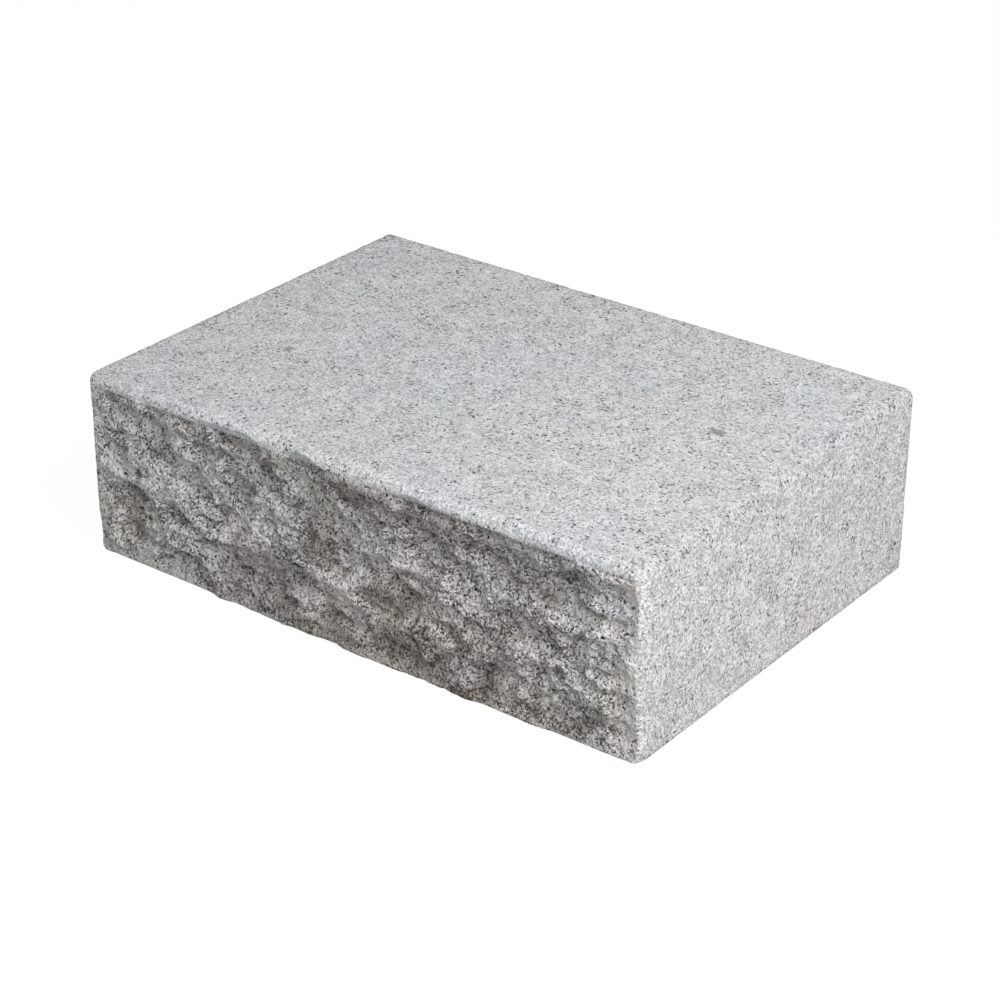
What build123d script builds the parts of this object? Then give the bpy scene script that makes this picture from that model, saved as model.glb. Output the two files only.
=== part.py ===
from build123d import *
import os
from typing import NamedTuple

# A granite block step of one stone: flat tread, bed, ends and back with eased edges, and a front that was
# pitched with hammer and chisel to a rough rock face.
# Millimetres. X runs along the step, the rock face looks to -Y, the tread is up at +Z. The origin is on the bed,
# in the middle of the block's length and depth.

# Driving sizes of the block. The depth is over the crest of the rock face, 4 mm more than the stock depth of 350.
STEP_LENGTH = 500.0
STEP_DEPTH = 354.0
STEP_RISE = 150.0

# The front bulges this much from its two ends to its middle
FRONT_BELLY = 1.5

# Rounding of the edges: the tread's front arris, the edges of each end that are seen from the front, the edges
# of the back, and all round the bed
ARRIS_EASE = 8.0
RIGHT_EASE = 7.5
LEFT_EASE = 4.0
BACK_EASE = 5.0
BED_EASE = 3.0


class Blow(NamedTuple):
    """One chisel blow and the hollow flake that it knocked off the front.

    The hollow is the bottom of a rounded trough that runs from where the flake broke deep to where it ran out.
    Places along the step are shares of half its length, from -1 at the left end to 1 at the right. Places up
    the step are shares of its rise. Depths are in millimetres below the front's crest, and the radius is the
    trough's own.
    """

    along: float
    up: float
    depth: float
    end_along: float
    end_up: float
    end_depth: float
    radius: float


# Blows struck down from the tread's front edge, from left to right
UPPER_BLOWS = (
    Blow(-0.93, 0.80, 4.5, -0.91, 0.65, 3.5, 60.0),
    Blow(-0.74, 0.72, 8.5, -0.69, 0.59, 6.0, 80.0),
    Blow(-0.53, 0.78, 9.0, -0.40, 0.83, 7.0, 50.0),
    Blow(-0.30, 0.59, 6.5, -0.17, 0.79, 9.0, 58.0),
    Blow(0.03, 0.68, 7.5, 0.00, 0.53, 8.0, 95.0),
    Blow(0.24, 0.77, 8.5, 0.28, 0.67, 9.5, 62.0),
    Blow(0.49, 0.75, 8.5, 0.74, 0.72, 9.5, 58.0),
    Blow(0.92, 0.79, 6.0, 0.93, 0.65, 5.0, 60.0),
)

# Blows across the middle of the face
MIDDLE_BLOWS = (
    Blow(-0.66, 0.48, 5.5, -0.63, 0.31, 5.0, 80.0),
    Blow(-0.52, 0.51, 9.5, -0.40, 0.56, 8.5, 42.0),
    Blow(-0.09, 0.67, 9.0, -0.05, 0.57, 9.5, 30.0),
    Blow(0.18, 0.40, 9.5, 0.25, 0.42, 9.5, 42.0),
    Blow(0.45, 0.47, 7.0, 0.58, 0.41, 7.0, 72.0),
    Blow(0.74, 0.43, 8.5, 0.86, 0.44, 8.5, 42.0),
    Blow(0.95, 0.38, 4.5, 0.96, 0.21, 4.0, 60.0),
)

# Blows struck up from the bed's front edge
LOWER_BLOWS = (
    Blow(-0.96, 0.08, 6.5, -0.60, 0.09, 6.0, 60.0),
    Blow(-0.83, 0.35, 9.5, -0.85, 0.18, 9.0, 38.0),
    Blow(-0.43, 0.19, 8.5, -0.23, 0.24, 9.5, 60.0),
    Blow(-0.09, 0.15, 9.5, 0.02, 0.17, 7.0, 36.0),
    Blow(0.21, 0.12, 5.0, 0.26, 0.12, 5.5, 40.0),
    Blow(0.35, 0.16, 5.5, 0.34, 0.27, 5.0, 60.0),
    Blow(0.49, 0.15, 7.5, 0.60, 0.17, 7.5, 48.0),
    Blow(0.74, 0.11, 6.5, 0.96, 0.12, 6.0, 50.0),
)

# Small spalls that broke off the ridges between the blows
RIDGE_SPALLS = (
    Blow(-0.62, 0.63, 8.0, -0.57, 0.56, 7.0, 26.0),
    Blow(-0.34, 0.75, 9.0, -0.30, 0.71, 8.0, 24.0),
    Blow(-0.56, 0.26, 7.5, -0.51, 0.23, 7.0, 26.0),
    Blow(0.38, 0.60, 8.5, 0.43, 0.57, 8.0, 28.0),
    Blow(0.66, 0.28, 7.5, 0.70, 0.26, 6.5, 26.0),
)

# Where the back and the front's crest lie, with the depth centred on the origin
back_line = STEP_DEPTH / 2
crest_line = -STEP_DEPTH / 2


def plan_outline():
    """The block seen from above: straight back and ends, and the bellied front."""
    half = STEP_LENGTH / 2
    front_end = crest_line + FRONT_BELLY
    front = ThreePointArc((-half, front_end), (0, crest_line), (half, front_end))
    sides = Polyline((half, front_end), (half, back_line), (-half, back_line), (-half, front_end))
    return make_face(front + sides)


def tread_edges(block):
    """The edges round the flat of the tread."""
    return block.faces().sort_by(Axis.Z)[-1].edges()


def eased_block():
    """The sawn block with each edge rounded as its place on the step is worn or dressed.

    The front arris comes first. Each later rounding starts from one edge of the tread and runs on down the
    upright edges that it meets smoothly.
    """
    block = extrude(plan_outline(), STEP_RISE)
    block = fillet(tread_edges(block).sort_by(Axis.Y)[0], ARRIS_EASE)
    block = fillet(tread_edges(block).sort_by(Axis.X)[-1], RIGHT_EASE)
    block = fillet(tread_edges(block).sort_by(Axis.X)[0], LEFT_EASE)
    block = fillet(tread_edges(block).sort_by(Axis.Y)[-1], BACK_EASE)
    return fillet(block.faces().sort_by(Axis.Z)[0].edges(), BED_EASE)


def ball_centre(along, up, depth, radius):
    """Centre of the ball that closes one end of a blow's trough, outside the stone by all but its depth."""
    return Vector(along * STEP_LENGTH / 2, crest_line - radius + depth, up * STEP_RISE)


def trough(blow):
    """The round-ended bar whose inner side leaves the hollow of one blow."""
    start = ball_centre(blow.along, blow.up, blow.depth, blow.radius)
    end = ball_centre(blow.end_along, blow.end_up, blow.end_depth, blow.radius)
    run = end - start
    half_outline = (
        Polyline((0, -blow.radius), (0, run.length + blow.radius))
        + CenterArc((0, 0), blow.radius, -90, 90)
        + Line((blow.radius, 0), (blow.radius, run.length))
        + CenterArc((0, run.length), blow.radius, 0, 90)
    )
    bar = revolve(Plane.XZ * make_face(half_outline), Axis.Z)
    return Plane(origin=start, x_dir=(0, -1, 0), z_dir=run) * bar


def rock_faced_step():
    """The whole stone: the eased block less the hollow of every blow."""
    stone = eased_block()
    for blow in UPPER_BLOWS + MIDDLE_BLOWS + LOWER_BLOWS + RIDGE_SPALLS:
        stone -= trough(blow)
    return stone


os.makedirs("parts", exist_ok=True)
step_block = rock_faced_step()
step_block.label = "step_block"
export_step(step_block, "parts/step_block.step")
print("volume in litres", round(step_block.volume / 1e6, 3), "faces", len(step_block.faces()))
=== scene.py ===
"""The granite block step as a finished piece: its broken and flamed surfaces, grain, stains and studio."""

import logging
from dataclasses import dataclass
from enum import Enum
from math import cos, pi, radians, sin

import bpy
from mathutils import Matrix, Vector


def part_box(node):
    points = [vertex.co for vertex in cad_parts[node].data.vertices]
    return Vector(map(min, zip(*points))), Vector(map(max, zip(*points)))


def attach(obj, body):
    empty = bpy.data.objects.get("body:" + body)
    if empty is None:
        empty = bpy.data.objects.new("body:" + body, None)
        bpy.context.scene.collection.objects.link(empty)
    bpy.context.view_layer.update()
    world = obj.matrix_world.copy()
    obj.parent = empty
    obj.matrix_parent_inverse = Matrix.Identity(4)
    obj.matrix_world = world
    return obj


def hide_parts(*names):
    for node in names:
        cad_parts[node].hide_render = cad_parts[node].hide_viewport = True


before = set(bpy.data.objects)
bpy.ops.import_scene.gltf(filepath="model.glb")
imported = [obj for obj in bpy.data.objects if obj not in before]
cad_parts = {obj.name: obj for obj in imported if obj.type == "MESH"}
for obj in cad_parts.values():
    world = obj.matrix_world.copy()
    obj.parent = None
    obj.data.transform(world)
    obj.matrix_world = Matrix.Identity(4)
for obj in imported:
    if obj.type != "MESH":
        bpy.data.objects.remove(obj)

LOG = logging.getLogger("granite_step")
STONE_NODE = "step_block"
ROOT_BODY = "root"
MM = 0.001

# White, which changes nothing in a colour that it is multiplied with
CLEAR = (1.0, 1.0, 1.0, 1.0)

# The shares of its reach at which a patch starts to fade and is gone
FADE_START = 0.25
FADE_END = 1.25

# Where the patches of the broken face lie across the step and how deep they reach, in millimetres
FACE_LINE = -172
FACE_REACH = 20


class Wire:
    """One output socket of a node, on which Python arithmetic builds more nodes."""

    def __init__(self, board: "Board", socket: bpy.types.NodeSocket) -> None:
        """Keeps the socket and the board that new nodes go on."""
        self.board = board
        self.socket = socket

    def output(self, name: str) -> "Wire":
        """Another output of the same node, by its name."""
        return Wire(self.board, self.socket.node.outputs[name])

    def _join(self, operation: str, first: object, second: object) -> "Wire":
        """Adds the Math or Vector Math node that joins two terms.

        Args:
            operation: The node's operation.
            first: A wire or a number.
            second: A wire or a number.

        Returns:
            The new node's result.
        """
        kind = "ShaderNodeVectorMath" if is_vector(first) or is_vector(second) else "ShaderNodeMath"
        return self.board.add(kind, {"operation": operation}, {0: first, 1: second})

    def __add__(self, other: object) -> "Wire":
        """self + other"""
        return self._join("ADD", self, other)

    __radd__ = __add__

    def __sub__(self, other: object) -> "Wire":
        """self - other"""
        return self._join("SUBTRACT", self, other)

    def __rsub__(self, other: object) -> "Wire":
        """other - self"""
        return self._join("SUBTRACT", other, self)

    def __mul__(self, other: object) -> "Wire":
        """self * other"""
        return self._join("MULTIPLY", self, other)

    __rmul__ = __mul__

    def __truediv__(self, other: object) -> "Wire":
        """self / other"""
        return self._join("DIVIDE", self, other)

    def __pow__(self, power: float) -> "Wire":
        """self ** power"""
        return self._join("POWER", self, power)

    def at_least(self, other: object) -> "Wire":
        """The larger of this and other."""
        return self._join("MAXIMUM", self, other)

    def at_most(self, other: object) -> "Wire":
        """The smaller of this and other."""
        return self._join("MINIMUM", self, other)

    def size(self) -> "Wire":
        """The absolute value."""
        return self._join("ABSOLUTE", self, 0.0)

    def ramp(self, start: float, end: float, low: float = 0.0, high: float = 1.0) -> "Wire":
        """Turns the value smoothly from low at start to high at end, and holds it outside them."""
        values = {"Value": self, "From Min": start, "From Max": end, "To Min": low, "To Max": high}
        return self.board.add("ShaderNodeMapRange", {"interpolation_type": "SMOOTHSTEP"}, values)

    def axis(self, name: str) -> "Wire":
        """One component of a vector, by its letter."""
        return self.board.add("ShaderNodeSeparateXYZ", {}, {0: self}, name)

    def dot(self, other: object) -> "Wire":
        """The dot product with another vector."""
        settings = {"operation": "DOT_PRODUCT"}
        return self.board.add("ShaderNodeVectorMath", settings, {0: self, 1: other}, "Value")

    def length(self) -> "Wire":
        """The length of a vector."""
        return self.board.add("ShaderNodeVectorMath", {"operation": "LENGTH"}, {0: self}, "Value")

    def direction(self) -> "Wire":
        """The vector at a length of one."""
        return self.board.add("ShaderNodeVectorMath", {"operation": "NORMALIZE"}, {0: self})


def is_vector(term: object) -> bool:
    """Whether a term of a sum holds three numbers rather than one."""
    if isinstance(term, Wire):
        return term.socket.type in {"VECTOR", "RGBA"}
    return isinstance(term, Vector)


class Board:
    """A node tree that nodes are added to in one way."""

    def __init__(self, tree: bpy.types.NodeTree) -> None:
        """Empties the tree."""
        self.tree = tree
        tree.nodes.clear()

    def node(self, kind: str, settings: dict, values: dict) -> bpy.types.Node:
        """Adds one node.

        Args:
            kind: The node's type.
            settings: Its own settings, which are set before its sockets.
            values: For its inputs, by name or number, a wire to link or a value to set.

        Returns:
            The node.
        """
        node = self.tree.nodes.new(kind)
        for name, value in settings.items():
            setattr(node, name, value)
        for key, value in values.items():
            self.feed(node.inputs[key], value)
        return node

    def add(self, kind: str, settings: dict, values: dict, output: str | int = 0) -> Wire:
        """Adds one node, and returns a wire from the output of that name or number."""
        return Wire(self, self.node(kind, settings, values).outputs[output])

    def seen(self) -> Wire:
        """How much a ray comes from the camera, whether straight or by way of a gloss or a glass."""
        path = self.node("ShaderNodeLightPath", {}, {})
        rays = ("Is Camera Ray", "Is Glossy Ray", "Is Transmission Ray")
        camera, glossy, through = (Wire(self, path.outputs[name]) for name in rays)
        return (camera + glossy + through).at_most(1.0)

    def feed(self, socket: bpy.types.NodeSocket, value: object) -> None:
        """Links a wire to a socket, or sets the socket's own value."""
        if isinstance(value, Wire):
            self.tree.links.new(value.socket, socket)
        elif socket.type == "VECTOR" and isinstance(value, (int, float)):
            socket.default_value = (value, value, value)
        else:
            socket.default_value = value

    def vector(self, x: object, y: object, z: object) -> Wire:
        """Three wires or numbers as one vector."""
        return self.add("ShaderNodeCombineXYZ", {}, {0: x, 1: y, 2: z})

    def noise(self, place: Wire, pitch: float, detail: float = 2.0, roughness: float = 0.5) -> Wire:
        """Soft cloudy noise around zero, from about -0.5 to 0.5.

        Args:
            place: Where to read it.
            pitch: The size of its largest lumps in metres.
            detail: How many finer layers it has.
            roughness: How strong each finer layer is.

        Returns:
            The noise.
        """
        values = {"Vector": place, "Scale": 1.0 / pitch, "Detail": detail, "Roughness": roughness}
        return self.add("ShaderNodeTexNoise", {}, values) - 0.5

    def swirl(self, place: Wire, scale: float, detail: float = 2.0) -> Wire:
        """Three noises as one vector, each from 0 to 1, by their waves in a metre and their finer layers."""
        values = {"Vector": place, "Scale": scale, "Detail": detail}
        return self.add("ShaderNodeTexNoise", {}, values, "Color")

    def cells(self, place: Wire, pitch: float) -> Wire:
        """The distance to the middle of cells of about a pitch in metres, whose other outputs are by name."""
        return self.add("ShaderNodeTexVoronoi", {}, {"Vector": place, "Scale": 1.0 / pitch})

    def blend(self, share: object, first: object, second: object) -> Wire:
        """A colour that goes from first to second as share goes from 0 to 1."""
        settings = {"data_type": "RGBA", "blend_type": "MIX"}
        return self.add("ShaderNodeMix", settings, {0: share, 6: first, 7: second}, 2)

    def keep(self, stone: Wire, name: str, value: Wire, kind: str) -> Wire:
        """Keeps a value of one data type on each of the stone's points, under a name."""
        values = {"Geometry": stone, "Name": name, "Value": value}
        return self.add("GeometryNodeStoreNamedAttribute", {"data_type": kind, "domain": "POINT"}, values)

    def recall(self, name: str, kind: str) -> Wire:
        """Reads a value that was kept on the points, while the stone is being shaped."""
        return self.add("GeometryNodeInputNamedAttribute", {"data_type": kind}, {"Name": name})

    def kept(self, name: str, output: str = "Fac") -> Wire:
        """Reads a value that was kept on the points, in the stone's material."""
        return self.add("ShaderNodeAttribute", {"attribute_name": name}, {}, output)

    def blurred(self, value: Wire, kind: str, rounds: int, weight: object = 1.0) -> Wire:
        """Evens out a value of one data type between neighbouring points, for a number of rounds."""
        values = {"Value": value, "Iterations": rounds, "Weight": weight}
        return self.add("GeometryNodeBlurAttribute", {"data_type": kind}, values)


@dataclass(frozen=True)
class Layer:
    """One layer of noise in a sum: its pitch in metres, its weight, and how fine and strong its detail is."""

    pitch: float
    weight: float
    detail: float = 2.0
    roughness: float = 0.6

    def read(self, board: Board, place: Wire) -> Wire:
        """The layer's weighted noise at a place."""
        return board.noise(place, self.pitch, self.detail, self.roughness) * self.weight


@dataclass(frozen=True)
class MineralTones:
    """The colours that one kind of surface shows of the stone's minerals."""

    feldspar: tuple
    quartz: tuple
    mica: tuple

    def mixed(self, board: Board, pale: Wire, fleck: Wire) -> Wire:
        """The clean stone's colour where it is so pale and so much of a mica fleck."""
        return board.blend(fleck, board.blend(pale, self.quartz, self.feldspar), self.mica)


class Soil(Enum):
    """What has coloured the stone after it was broken, and painted shade, as the share of each colour that it
    lets through.
    """

    EARTH = (0.200, 0.160, 0.115, 1.0)
    RUST = (0.390, 0.270, 0.180, 1.0)
    CLAY = (1.000, 0.900, 0.710, 1.0)
    SOOT = (0.120, 0.120, 0.120, 1.0)


@dataclass(frozen=True)
class Patch:
    """A soft patch of the surface, whose centre and reach along each axis are in millimetres."""

    centre: tuple
    reach: tuple
    strength: float

    def share(self, board: Board, place: Wire, edge: Wire) -> Wire:
        """How much the patch covers a point.

        Args:
            board: The material's nodes.
            place: The point on the stone.
            edge: Noise that makes the patch's edge ragged.

        Returns:
            The share, from 0 outside the patch to the patch's strength at its middle.
        """
        away = (place - Vector(self.centre) * MM) / (Vector(self.reach) * MM)
        return (away.length() + edge).ramp(FADE_END, FADE_START) * self.strength


def on_face(along: float, up: float, wide: float, high: float, strength: float) -> Patch:
    """A patch of the broken face, by its middle and its reach along and up the step in millimetres."""
    return Patch((along, FACE_LINE, up), (wide, FACE_REACH, high), strength)


# Where each soil lies on the stone; the earth patches on the broken face are partly painted shade
STAINS = {
    # Painted shade in the broken face's hollows and along its top and bottom, darkened with the brown of its
    # dirt
    Soil.EARTH: (
        on_face(-85, 28, 52, 30, 0.50),
        on_face(-209, 62, 13, 10, 0.56),
        on_face(-212, 38, 11, 22, 0.44),
        on_face(-34, 101, 17, 22, 0.26),
        on_face(-26, 78, 23, 19, 0.70),
        on_face(-17, 22, 12, 8, 0.46),
        on_face(34, 52, 27, 18, 0.64),
        on_face(48, 29, 34, 18, 0.62),
        on_face(66, 13, 36, 14, 0.58),
        on_face(102, 0, 30, 14, 0.95),
        on_face(122, 18, 24, 17, 0.54),
        on_face(172, 14, 44, 16, 0.42),
        on_face(118, 50, 32, 18, 0.38),
        on_face(156, 78, 30, 16, 0.26),
        on_face(156, 110, 44, 20, 0.34),
        on_face(28, 122, 24, 18, 0.40),
        on_face(86, 124, 24, 18, 0.36),
        on_face(2, 126, 22, 13, 0.44),
        on_face(-76, 124, 18, 13, 0.48),
        on_face(-98, 102, 18, 14, 0.30),
        on_face(-50, 98, 14, 12, 0.30),
        on_face(-124, 3, 22, 13, 0.40),
        on_face(-28, 2, 44, 13, 0.44),
        on_face(-226, 50, 12, 10, 0.24),
        on_face(60, 134, 210, 9, 0.30),
        on_face(10, 4, 140, 20, 0.26),
    ),
    Soil.RUST: (Patch((250, -41, 133), (5, 3, 3), 0.60), Patch((250, -128, 141), (5, 3, 4), 0.60)),
    Soil.CLAY: (Patch((250, 52, 106), (30, 62, 34), 0.12), Patch((250, 42, 12), (30, 26, 11), 0.18)),
    Soil.SOOT: (Patch((175, 27, 150), (6, 6, 8), 0.60), Patch((-160, -51, 150), (6, 6, 8), 0.60)),
}

# Where the broken face is paler: its pale feldspar, and painted light on its lit ledges and on the strip
# beside the right end
PALE_AND_LIT_PATCHES = (
    on_face(253, 72, 24, 140, 1.00),
    on_face(250, 66, 17, 120, 0.80),
    on_face(-250, 60, 20, 110, 0.45),
    on_face(-226, 80, 20, 15, 1.00),
    on_face(-176, 124, 20, 14, 0.85),
    on_face(-50, 126, 18, 13, 0.95),
    on_face(-104, 58, 36, 20, 0.55),
    on_face(-140, 98, 26, 15, 0.50),
    on_face(-190, 3, 42, 14, 0.75),
    on_face(-200, 52, 14, 12, 0.45),
    on_face(36, 80, 28, 13, 0.70),
    on_face(0, 50, 14, 12, 0.50),
    on_face(-50, 52, 14, 12, 0.50),
    on_face(-12, 38, 24, 13, 0.60),
    on_face(125, 128, 14, 12, 0.45),
    on_face(184, 98, 20, 14, 0.40),
)


@dataclass(frozen=True)
class GraniteFinish:
    """Fine grey granite, whitened by the flame on its sawn faces and fresh and darker where it was broken.

    Heights and depths of the fine relief are in millimetres, and each face's grit is a multiple of the grit
    layer. Ranges are where a soft step starts and ends. Shifts, in metres, read another part of a noise.
    """

    name: str = "grey_granite"
    flamed: MineralTones = MineralTones(
        feldspar=(0.757, 0.760, 0.766, 1.0),
        quartz=(0.347, 0.354, 0.362, 1.0),
        mica=(0.085, 0.087, 0.090, 1.0),
    )
    broken: MineralTones = MineralTones(
        feldspar=(0.975, 0.949, 0.936, 1.0),
        quartz=(0.168, 0.162, 0.157, 1.0),
        mica=(0.026, 0.024, 0.022, 1.0),
    )
    # The colour that the sawn arrises are multiplied by: painted shade that takes the light off their rounded
    # edges
    worn: tuple = (0.860, 0.860, 0.855, 1.0)
    turn: tuple = (0.45, 0.72, 0.31)
    grain: float = 1.9 * MM
    grain_weight: float = 0.55
    specks: Layer = Layer(1.5 * MM, 2.4)
    lumps: Layer = Layer(5.0 * MM, 1.0)
    clouds: Layer = Layer(22 * MM, 0.55)
    flecks: Layer = Layer(2.3 * MM, 1.0, 2.0, 0.55)
    fleck_shift: float = 0.31
    fleck_clouds: Layer = Layer(11 * MM, 0.30, 2.0, 0.50)
    fleck_cloud_shift: float = 0.57
    fleck_range: tuple = (0.080, 0.190)
    flamed_range: tuple = (-0.70, 0.62)
    broken_range: tuple = (-0.43, 0.12)
    end_contrast: float = 0.48
    crumb: float = 2.8 * MM
    crumb_height: float = 2.2
    crumb_level: float = 0.6
    crumb_bend: float = 1.0 * MM
    crumb_bend_pitch: float = 4.0 * MM
    grit: Layer = Layer(3.0 * MM, 1.0, 3.0)
    broken_grit: float = 7.6
    tread_grit: float = 0.60
    end_grit: float = 1.10
    crest_grit: float = 1.0
    pale_height: float = 0.16
    fleck_depth: float = 0.18
    border: Layer = Layer(2.2 * MM, 1.2)
    border_range: tuple = (0.40, 0.60)
    crest_range: tuple = (0.15, 0.50)
    # How much the painted highlight along the sawn side of the front arris brightens it, with its paler
    # bruised stone
    crest_highlight_gain: float = 0.125
    # How far the pale patches, partly painted light, push the broken face towards its feldspar
    pale_and_light_lift: float = 0.30
    mottle: Layer = Layer(32 * MM, 0.75, 3.0, 0.65)
    tint_clouds: Layer = Layer(140 * MM, 1.0, 8.0, 0.75)
    tint_range: tuple = (-0.2, 0.2)
    pink_shift: float = 0.11
    straw_shift: float = 0.83
    tread_tint: float = 0.073
    end_tint: float = 0.056
    front_blush: float = 0.074
    front_straw: float = 0.145
    end_warmth: float = 0.012
    end_straw: float = 0.004
    patch_edge: Layer = Layer(14 * MM, 1.6, 4.0, 0.65)
    # How dark the painted shade in the broken face's hollows is, and over which depths in millimetres it comes
    # in
    hollow_shade: float = 0.28
    hollow_shade_range: tuple = (0.2, 2.5)
    roughness: float = 0.82

    def crystals(self, board: Board, place: Wire) -> tuple[Wire, Wire]:
        """Where the pale and the grey crystals and the mica flecks lie.

        Args:
            board: The material's nodes.
            place: The point on the stone.

        Returns:
            A speckle that is low in quartz and high in feldspar, around zero, and how much of a mica fleck
            the point is.
        """
        cells = board.cells(place, self.grain).output("Color")
        luck = board.add("ShaderNodeSeparateColor", {}, {0: cells}, 0) - 0.5
        speckle = luck * self.grain_weight
        for layer in (self.specks, self.lumps, self.clouds):
            speckle = speckle + layer.read(board, place)
        scatter = self.flecks.read(board, place + self.fleck_shift)
        scatter = scatter + self.fleck_clouds.read(board, place + self.fleck_cloud_shift)
        return speckle, scatter.ramp(*self.fleck_range)

    def tint(self, board: Board, place: Wire, front: Wire, ends: Wire) -> Wire:
        """The faint clouds of pink and straw that the stone's colour is multiplied by.

        Args:
            board: The material's nodes.
            place: The point on the stone.
            front: How much of the broken face the point is.
            ends: How much of the two ends the point is.

        Returns:
            Three factors around one.
        """
        sawn = (self.tread_tint + (self.end_tint - self.tread_tint) * ends) * (1.0 - front)
        blush = self.cloud(board, place, self.pink_shift) * (sawn + self.front_blush * front)
        straw = self.cloud(board, place, self.straw_shift) * (sawn + self.front_straw * front)
        sawn_ends = ends * (1.0 - front)
        warm = sawn_ends * self.end_warmth
        return board.vector(1.0 + blush + warm, 1.0, 1.0 - straw - sawn_ends * self.end_straw)

    def cloud(self, board: Board, place: Wire, shift: float) -> Wire:
        """One of the tint's clouds, from -0.5 to 0.5."""
        return self.tint_clouds.read(board, place + shift).ramp(*self.tint_range) - 0.5

    def relief(self, board: Board, place: Wire, front: Wire, sawn: Wire, pale: Wire, mica: Wire) -> Wire:
        """Height in millimetres of the crumbs and grit too fine for the mesh.

        Args:
            board: The material's nodes.
            place: The point on the stone.
            front: How much of the broken face the point is.
            sawn: The strength of the grit that the point would have on a sawn face.
            pale: How pale its crystal is.
            mica: How much of a mica fleck it is.

        Returns:
            The height.
        """
        bent = place + board.swirl(place, 1.0 / self.crumb_bend_pitch) * self.crumb_bend
        crumbs = self.crumb_level - board.cells(bent, self.crumb)
        grit = self.grit.read(board, place)
        broken = crumbs * self.crumb_height + grit * self.broken_grit
        flamed = grit * sawn + pale * self.pale_height - mica * self.fleck_depth
        return broken * front + flamed * (1.0 - front)

    def shaded_and_soiled(self, board: Board, clean: Wire, place: Wire, edge: Wire, hollow_shade: Wire) -> Wire:
        """Darkens the clean stone's colour with painted shade in its hollows and with every stain, some of
        which are partly painted shade too.

        Args:
            board: The material's nodes.
            clean: The clean colour.
            place: The point on the stone.
            edge: Noise that makes the stains' edges ragged.
            hollow_shade: How much painted shade its hollow gets, in the earth colour.

        Returns:
            The colour as it is seen.
        """
        # Painted shade in the hollows, in the earth colour
        colour = clean * board.blend(hollow_shade, CLEAR, Soil.EARTH.value)
        for soil, patches in STAINS.items():
            for patch in patches:
                colour = colour * board.blend(patch.share(board, place, edge), CLEAR, soil.value)
        return colour

    def material(self) -> bpy.types.Material:
        """Builds the material on the stone's own coordinates and the values kept on its points."""
        made = bpy.data.materials.new(self.name)
        made.use_nodes = True
        board = Board(made.node_tree)
        object_place = board.add("ShaderNodeTexCoord", {}, {}, "Object")
        place = board.add("ShaderNodeMapping", {}, {"Vector": object_place, "Rotation": self.turn})
        border = self.border.read(board, place)
        front = (board.kept("front") + border).ramp(*self.border_range)
        inward = board.kept("inward", "Vector")
        ends = inward.axis("X").size()
        speckle, mica = self.crystals(board, place)
        pale = (speckle * (1.0 + self.end_contrast * ends)).ramp(*self.flamed_range)
        flamed = self.flamed.mixed(board, pale, mica)
        edge = self.patch_edge.read(board, object_place)
        # Painted light and paler feldspar on the broken face, with a random mottle
        lift = sum((patch.share(board, object_place, edge) for patch in PALE_AND_LIT_PATCHES), 0.0) * self.pale_and_light_lift
        lift = lift + self.mottle.read(board, place)
        broken = self.broken.mixed(board, (speckle + lift).ramp(*self.broken_range), mica)
        clean = board.blend(front, flamed, broken) * self.tint(board, place, front, ends)
        crest = inward.axis("Y").ramp(*self.crest_range)
        # A painted highlight along the sawn side of the front arris, with its paler bruised stone
        clean = clean * (1.0 + crest * (1.0 - front) * self.crest_highlight_gain)
        # Painted shade on the sawn arrises, which takes the light off their rounded edges
        clean = clean * board.blend(board.kept("arris_shade"), CLEAR, self.worn)
        # Painted shade that deepens with how far a point lies below its surroundings
        hollow_shade = board.kept("hollow").ramp(*self.hollow_shade_range) * front * self.hollow_shade
        shaded_and_soiled = self.shaded_and_soiled(board, clean, object_place, edge, hollow_shade)
        sawn = self.tread_grit + self.end_grit * ends + self.crest_grit * crest
        height = self.relief(board, place, front, sawn, pale, mica)
        raised = {"Strength": 1.0, "Distance": 1.0 * MM, "Height": height}
        bump = board.add("ShaderNodeBump", {}, raised, "Normal")
        values = {"Base Color": shaded_and_soiled, "Roughness": self.roughness, "Normal": bump}
        surface = board.add("ShaderNodeBsdfPrincipled", {}, values, "BSDF")
        board.node("ShaderNodeOutputMaterial", {}, {"Surface": surface})
        return made


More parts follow.
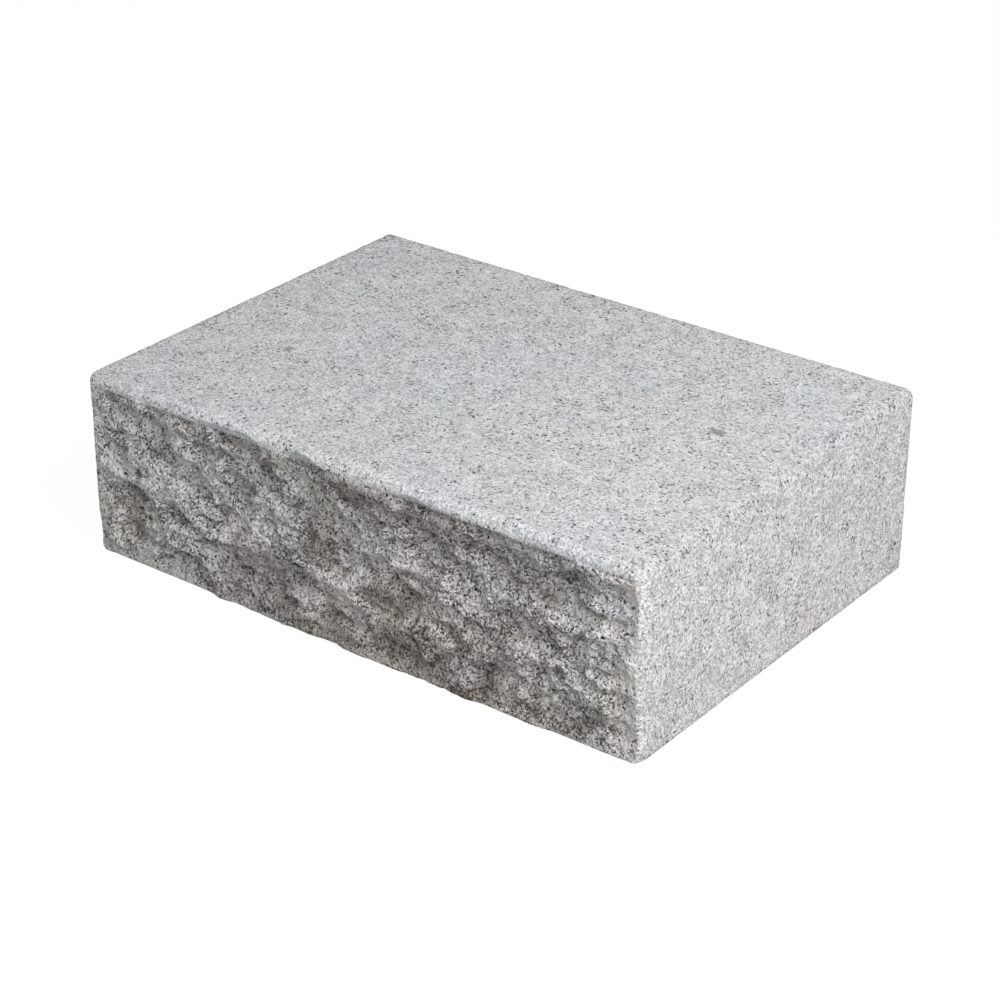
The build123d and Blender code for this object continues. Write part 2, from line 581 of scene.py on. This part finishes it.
@dataclass
class BrokenStone:
    """The whole stone: sawn and flamed faces with worn edges, and the broken face with its fine relief.

    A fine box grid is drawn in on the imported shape, evened out on the front and pushed in. Lengths are in
    metres, and the bend's scale is its waves in a metre. Ranges are where a soft step starts and ends: of
    wear, of how far the way in turns to an axis, or of how near an edge a point is, which is 0 on a flat face,
    0.29 on an edge and 0.42 at a corner.
    """

    name: str = "granite_stone"
    face_pitch: float = 1.0 * MM
    depth_pitch: float = 2.2 * MM
    margin: float = 14 * MM
    ray_reach: float = 70 * MM
    slack: float = 0.1 * MM
    triangles: int = 190_000
    sway_pitch: float = 38 * MM
    sway_detail: float = 4.0
    sway_fade: float = 22 * MM
    front_range: tuple = (0.50, 0.75)
    ragged: Layer = Layer(24 * MM, 0.28, 3.0, 0.55)
    worn_range: tuple = (0.42, 0.66)
    tread_wear: float = 1.54
    right_wear: float = 0.82
    left_wear: float = 0.70
    shoulder_reach: float = 32 * MM
    corner_range: tuple = (0.30, 0.42)
    corner_foot_range: tuple = (0.0, 0.3)
    soften_rounds: int = 12
    ledge_stretch: tuple = (0.75, 1.0, 1.35)
    bend: float = 16 * MM
    bend_scale: float = 45.0
    bend_detail: float = 3.0
    flake_pitch: float = 26 * MM
    chip_pitch: float = 9 * MM
    break_rounds: int = 4
    swell: Layer = Layer(22 * MM, 1.0, 5.0, 0.58)
    rim: float = 20 * MM
    rim_share: float = 0.12
    flamed_bumps: Layer = Layer(6 * MM, 1.0, 3.0, 0.6)
    flamed_waves: Layer = Layer(60 * MM, 1.0, 1.0, 0.5)
    flamed_level: float = 0.4
    nibbles: Layer = Layer(10 * MM, 1.0, 3.0, 0.6)
    nibble_range: tuple = (-0.02, 0.3)
    nibble_edge_range: tuple = (0.02, 0.28)
    # Where the painted arris shade comes in, by how near an edge a point is
    arris_shade_range: tuple = (0.03, 0.25)
    behind_range: tuple = (0.25, 0.50)
    hollow_rounds: int = 60

    def group_inputs(self) -> dict:
        """The named sizes that the stone's node tree takes."""
        low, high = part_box(STONE_NODE)
        margin = Vector((1, 1, 1)) * self.margin
        grown = high - low + margin * 2
        return {
            "Low": low,
            "High": high,
            "Middle": (low + high) / 2,
            "Grown Size": grown,
            "Core Low": low + margin,
            "Core High": high - margin,
            "Count X": round(grown.x / self.face_pitch),
            "Count Y": round(grown.y / self.depth_pitch),
            "Count Z": round(grown.z / self.face_pitch),
            "Sway": 34 * MM,
            "Flake Slope": 0.30,
            "Chip Slope": 0.50,
            "Swell Height": 14 * MM,
            "Sink": 1.6 * MM,
            "Flamed Relief": 0.35 * MM,
            "Nibble Depth": 0.9 * MM,
            "Shoulder Depth": 3.2 * MM,
            "Corner Depth": 2.0 * MM,
            "Seed": 7.0,
        }

    def node_group(self, material: bpy.types.Material) -> bpy.types.NodeTree:
        """Builds the node tree that wraps a fine grid on the sawn shape and breaks its surface.

        Args:
            material: What the finished surface is given.

        Returns:
            The node tree.
        """
        tree = bpy.data.node_groups.new(self.name, "GeometryNodeTree")
        board = Board(tree)
        tree.interface.new_socket("Geometry", in_out="INPUT", socket_type="NodeSocketGeometry")
        kinds = {Vector: "NodeSocketVector", int: "NodeSocketInt", float: "NodeSocketFloat"}
        for label, value in self.group_inputs().items():
            tree.interface.new_socket(label, in_out="INPUT", socket_type=kinds[type(value)])
        tree.interface.new_socket("Geometry", in_out="OUTPUT", socket_type="NodeSocketGeometry")
        given = board.add("NodeGroupInput", {}, {}, "Geometry")

        wrapped = self.wrap(board, given)
        worn = self.wear(board, given, wrapped)
        finished = self.mark_hollows(board, worn)
        smooth = board.add("GeometryNodeSetShadeSmooth", {}, {"Geometry": finished, "Shade Smooth": True})
        real = board.add("GeometryNodeRealizeInstances", {}, {"Geometry": smooth})
        dressed = board.add("GeometryNodeSetMaterial", {}, {"Geometry": real, "Material": material})
        board.node("NodeGroupOutput", {}, {"Geometry": dressed})
        return tree

    def wrap(self, board: Board, given: Wire) -> Wire:
        """Draws a fine box grid in on the sawn shape, and keeps the way in as an attribute.

        Args:
            board: The node tree.
            given: The group's inputs.

        Returns:
            The grid on the shape's surface.
        """
        counts = {f"Vertices {axis}": given.output(f"Count {axis}") for axis in "XYZ"}
        grid = board.add("GeometryNodeMeshCube", {}, {"Size": given.output("Grown Size"), **counts}, "Mesh")
        offset = {"Geometry": grid, "Offset": given.output("Middle")}
        placed = board.add("GeometryNodeSetPosition", {}, offset)
        place = board.add("GeometryNodeInputPosition", {}, {})
        core = place.at_least(given.output("Core Low")).at_most(given.output("Core High"))
        inward = (core - place).direction()
        kept = board.keep(placed, "inward", inward, "FLOAT_VECTOR")
        aim = board.recall("inward", "FLOAT_VECTOR")
        sway = self.sway(board, given, place, aim)
        rays = {"Target Geometry": given, "Source Position": place + sway, "Ray Direction": aim}
        hit = board.add("GeometryNodeRaycast", {}, {**rays, "Ray Length": self.ray_reach}, "Is Hit")
        landing = {"Geometry": kept, "Selection": hit, "Position": hit.output("Hit Position") - sway}
        landed = board.add("GeometryNodeSetPosition", {}, landing)
        return board.keep(landed, "front", self.broken_share(board, place, aim), "FLOAT")

    def broken_share(self, board: Board, place: Wire, aim: Wire) -> Wire:
        """How much of the broken finish a point has, which ends raggedly along the worn arrises of the front.

        Args:
            board: The node tree.
            place: The grid's points.
            aim: Their way in.

        Returns:
            The share, from 0 on the sawn faces and the worn arrises to 1 on the front.
        """
        ends = (aim.axis("X") * -self.right_wear).at_least(aim.axis("X") * self.left_wear)
        worn = (aim.axis("Z") * -self.tread_wear).at_least(ends) + self.ragged.read(board, place)
        return aim.axis("Y").ramp(*self.front_range) * (1.0 - worn.ramp(*self.worn_range))

    def sway(self, board: Board, given: Wire, place: Wire, aim: Wire) -> Wire:
        """How far aside each point of the front reads the sawn shape, to turn the blows' outlines ragged.

        Args:
            board: The node tree.
            given: The group's inputs.
            place: The grid's points before they land.
            aim: Their way in.

        Returns:
            The sideways step, which fades out towards the front's edges and is nothing elsewhere.
        """
        core = (given.output("Core High") - given.output("Core Low")) / 2
        room = (core - (place - given.output("Middle")).size()) / self.sway_fade
        room = room.at_most(1.0).at_least(0.0)
        fade = room.axis("X") * room.axis("Z")
        swirl = board.swirl(place, 1.0 / self.sway_pitch, self.sway_detail)
        aside = (swirl - 0.5) * board.vector(1.0, 0.0, 1.0) * given.output("Sway")
        return aside * fade * aim.axis("Y").at_least(0.0)

    def wear(self, board: Board, given: Wire, stone: Wire) -> Wire:
        """Softens the struck ridges, and gives the front its broken relief and the rest its flamed one.

        Args:
            board: The node tree.
            given: The group's inputs.
            stone: The grid on the shape's surface.

        Returns:
            The worn surface.
        """
        place = board.add("GeometryNodeInputPosition", {}, {})
        front = board.recall("front", "FLOAT")
        inward = board.recall("inward", "FLOAT_VECTOR")
        softened = board.blurred(place, "FLOAT_VECTOR", self.soften_rounds, front)
        soft = board.add("GeometryNodeSetPosition", {}, {"Geometry": stone, "Position": softened})

        seeded = place + given.output("Seed")
        flamed = self.flamed_bumps.read(board, seeded) + self.flamed_waves.read(board, seeded)
        flamed = (flamed + self.flamed_level).at_least(0.0) * given.output("Flamed Relief")
        along, across, up = (inward.axis(name).size() for name in "XYZ")
        edge = 1.0 - along.at_least(across).at_least(up)
        nibbles = self.nibbles.read(board, seeded).ramp(*self.nibble_range)
        nibbles = nibbles * edge.ramp(*self.nibble_edge_range)
        broken = self.broken_relief(board, given, place, seeded)
        depth = broken * front + flamed * (1.0 - front) + nibbles * given.output("Nibble Depth")
        from_right = given.output("High").axis("X") - place.axis("X")
        near = (1.0 - from_right / self.shoulder_reach).at_least(0.0)
        depth = depth + near**2 * inward.axis("Y").at_least(0.0) * given.output("Shoulder Depth")
        corner = edge.ramp(*self.corner_range) * inward.axis("Z").ramp(*self.corner_foot_range)
        depth = depth + corner * given.output("Corner Depth")
        moved = place + inward * depth
        held = moved.at_least(given.output("Low") + self.slack).at_most(given.output("High") - self.slack)
        behind = 1.0 - inward.axis("Y").ramp(*self.behind_range)
        # The sawn arrises away from the front, where the material paints shade
        marked = board.keep(soft, "arris_shade", edge.ramp(*self.arris_shade_range) * behind, "FLOAT")
        return board.add("GeometryNodeSetPosition", {}, {"Geometry": marked, "Position": held})

    def broken_relief(self, board: Board, given: Wire, place: Wire, seeded: Wire) -> Wire:
        """Depth of the flakes, chips and swells of the broken face, which are wider than they are high.

        Args:
            board: The node tree.
            given: The group's inputs.
            place: The stone's points.
            seeded: The same, moved to the seed's own part of the noise.

        Returns:
            The depth in metres, small along the face's rim so that the arrises keep their line.
        """
        ledges = seeded * Vector(self.ledge_stretch)
        bent = ledges + board.swirl(ledges, self.bend_scale, self.bend_detail) * self.bend
        flakes = self.facets(board, bent, self.flake_pitch, given.output("Flake Slope"))
        chips = self.facets(board, bent, self.chip_pitch, given.output("Chip Slope"))
        breaks = board.blurred(flakes + chips, "FLOAT", self.break_rounds)
        swell = self.swell.read(board, ledges) * given.output("Swell Height")
        half = (given.output("High") - given.output("Low")) / 2
        room = half - (place - given.output("Middle")).size()
        firm = room.axis("X").at_most(room.axis("Z")).ramp(0.0, self.rim, self.rim_share, 1.0)
        return (breaks + swell + given.output("Sink")) * firm

    def facets(self, board: Board, place: Wire, pitch: float, slope: Wire) -> Wire:
        """Height of a surface of flat breaks, each tilted its own way.

        Args:
            board: The node tree.
            place: Where to read it.
            pitch: The breaks' size in metres.
            slope: How steep the steepest is.

        Returns:
            The height in metres.
        """
        cell = board.cells(place, pitch)
        tilt = (cell.output("Color") - 0.5) * (slope * 2.0)
        return (place - cell.output("Position")).dot(tilt)

    def mark_hollows(self, board: Board, stone: Wire) -> Wire:
        """Keeps as an attribute how many millimetres each point lies below its surroundings."""
        place = board.add("GeometryNodeInputPosition", {}, {})
        around = board.blurred(place, "FLOAT_VECTOR", self.hollow_rounds)
        depth = (place - around).dot(board.recall("inward", "FLOAT_VECTOR")) / MM
        return board.keep(stone, "hollow", depth, "FLOAT")

    def build(self, material: bpy.types.Material) -> bpy.types.Object:
        """Makes the finished stone as one plain mesh.

        Args:
            material: The stone's finish.

        Returns:
            The finished piece, which replaces the plain one.
        """
        tree = self.node_group(material)
        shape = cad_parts[STONE_NODE].data.copy()
        rough = bpy.data.objects.new(self.name + "_rough", shape)
        bpy.context.scene.collection.objects.link(rough)
        grow = rough.modifiers.new("stone", "NODES")
        grow.node_group = tree
        sockets = {item.name: item.identifier for item in tree.interface.items_tree if item.in_out == "INPUT"}
        for label, value in self.group_inputs().items():
            grow[sockets[label]] = value
        thin = rough.modifiers.new("thin", "DECIMATE")
        view = bpy.context.evaluated_depsgraph_get()
        thin.show_viewport = False
        view.update()
        # Each face of the grid is a quad, and so two triangles
        full = len(rough.evaluated_get(view).data.polygons) * 2
        thin.show_viewport = True
        thin.ratio = min(1.0, self.triangles / full)
        view.update()
        mesh = bpy.data.meshes.new_from_object(rough.evaluated_get(view))
        bpy.data.objects.remove(rough)
        stone = bpy.data.objects.new(self.name, mesh)
        bpy.context.scene.collection.objects.link(stone)
        LOG.info("%s: %d faces from a grid of %d triangles", self.name, len(mesh.polygons), full)
        return stone


class Lamp(Enum):
    """The studio's softbox: where it stands, its width, and its share of the plain light level."""

    KEY = ((1.40, -0.54, 1.32), 1.7, 1.14)


@dataclass
class Studio:
    """A pale floor that runs on past the view, a white surround and a softbox."""

    floor_reach: float = 6.0
    floor_colour: tuple = (0.92, 0.92, 0.92, 1.0)
    bounce_colour: tuple = (0.42, 0.42, 0.42, 1.0)
    floor_glow: float = 0.93
    paper_white: float = 1.03
    surround: float = 0.42
    lamp_aim: tuple = (0.0, 0.0, 0.1)

    def floor(self) -> None:
        """Makes the floor, white to the camera but for the stone's shadow."""
        reach = self.floor_reach
        corners = [(-reach, -reach, 0), (reach, -reach, 0), (reach, reach, 0), (-reach, reach, 0)]
        mesh = bpy.data.meshes.new("studio_floor")
        mesh.from_pydata(corners, [], [(0, 1, 2, 3)])
        floor = bpy.data.objects.new("studio_floor", mesh)
        bpy.context.scene.collection.objects.link(floor)
        made = bpy.data.materials.new("studio_paper")
        made.use_nodes = True
        board = Board(made.node_tree)
        seen = board.seen()
        colour = board.blend(seen, self.bounce_colour, self.floor_colour)
        paper = board.add("ShaderNodeBsdfDiffuse", {}, {"Color": colour}, "BSDF")
        glow = board.add("ShaderNodeEmission", {}, {"Color": CLEAR, "Strength": self.paper_white}, "Emission")
        surface = board.add("ShaderNodeMixShader", {}, {0: seen * self.floor_glow, 1: paper, 2: glow})
        board.node("ShaderNodeOutputMaterial", {}, {"Surface": surface})
        mesh.materials.append(made)

    def surround_light(self) -> None:
        """Sets the world to an even light that the camera sees as white."""
        world = bpy.data.worlds.new("studio")
        bpy.context.scene.world = world
        world.use_nodes = True
        board = Board(world.node_tree)
        strength = self.surround + (1.0 - self.surround) * board.seen()
        light = board.add("ShaderNodeBackground", {}, {"Color": CLEAR, "Strength": strength})
        board.node("ShaderNodeOutputWorld", {}, {"Surface": light})

    def lamps(self) -> None:
        """Hangs the softbox, aimed at the stone."""
        for lamp in Lamp:
            place, width, share = lamp.value
            light = bpy.data.lights.new(f"softbox_{lamp.name.lower()}", "AREA")
            light.shape = "SQUARE"
            light.size = width
            away = Vector(place) - Vector(self.lamp_aim)
            # A share of one is the power that lights a white sheet facing the lamp to full white from here
            light.energy = share * pi**2 * away.length_squared
            box = bpy.data.objects.new(light.name, light)
            box.location = place
            box.rotation_euler = away.to_track_quat("Z", "Y").to_euler()
            bpy.context.scene.collection.objects.link(box)

    def build(self) -> None:
        """Sets up the floor, the surround and the lamp."""
        self.floor()
        self.surround_light()
        self.lamps()
        LOG.info("studio: floor, surround and lamp")


@dataclass
class StillCamera:
    """The camera of the photograph, looking down on the stone's right front corner."""

    bearing: float = 37.32
    height_angle: float = 27.54
    roll: float = 0.2
    place: tuple = (1.1056, -1.4483, 1.0011)
    focal_share: float = 2.7268
    sensor: float = 36.0
    sight: float = 50.0

    def build(self) -> None:
        """Makes the camera and gives it to the scene."""
        turn, tilt, roll = radians(self.bearing), radians(self.height_angle), radians(self.roll)
        ahead = Vector((-sin(turn) * cos(tilt), cos(turn) * cos(tilt), -sin(tilt)))
        level = Vector((cos(turn), sin(turn), 0.0))
        rise = level.cross(ahead)
        right = level * cos(roll) + rise * sin(roll)
        up = rise * cos(roll) - level * sin(roll)
        lens = bpy.data.cameras.new("still_camera")
        lens.sensor_width = self.sensor
        lens.lens = self.sensor * self.focal_share
        lens.clip_end = self.sight
        camera = bpy.data.objects.new("still_camera", lens)
        facing = Matrix((right, up, -ahead)).transposed().to_4x4()
        camera.matrix_world = Matrix.Translation(self.place) @ facing
        bpy.context.scene.collection.objects.link(camera)
        bpy.context.scene.camera = camera
        LOG.info("camera: %.1f mm lens", lens.lens)


def main() -> None:
    """Builds the finished stone, the studio and the camera in order."""
    logging.basicConfig(level=logging.INFO, format="%(name)s: %(message)s")
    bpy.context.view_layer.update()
    granite = GraniteFinish().material()
    stone = BrokenStone().build(granite)
    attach(stone, ROOT_BODY)
    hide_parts(STONE_NODE)
    Studio().build()
    StillCamera().build()
    bpy.context.scene.view_settings.view_transform = "Standard"


if __name__ == "__main__":
    main()
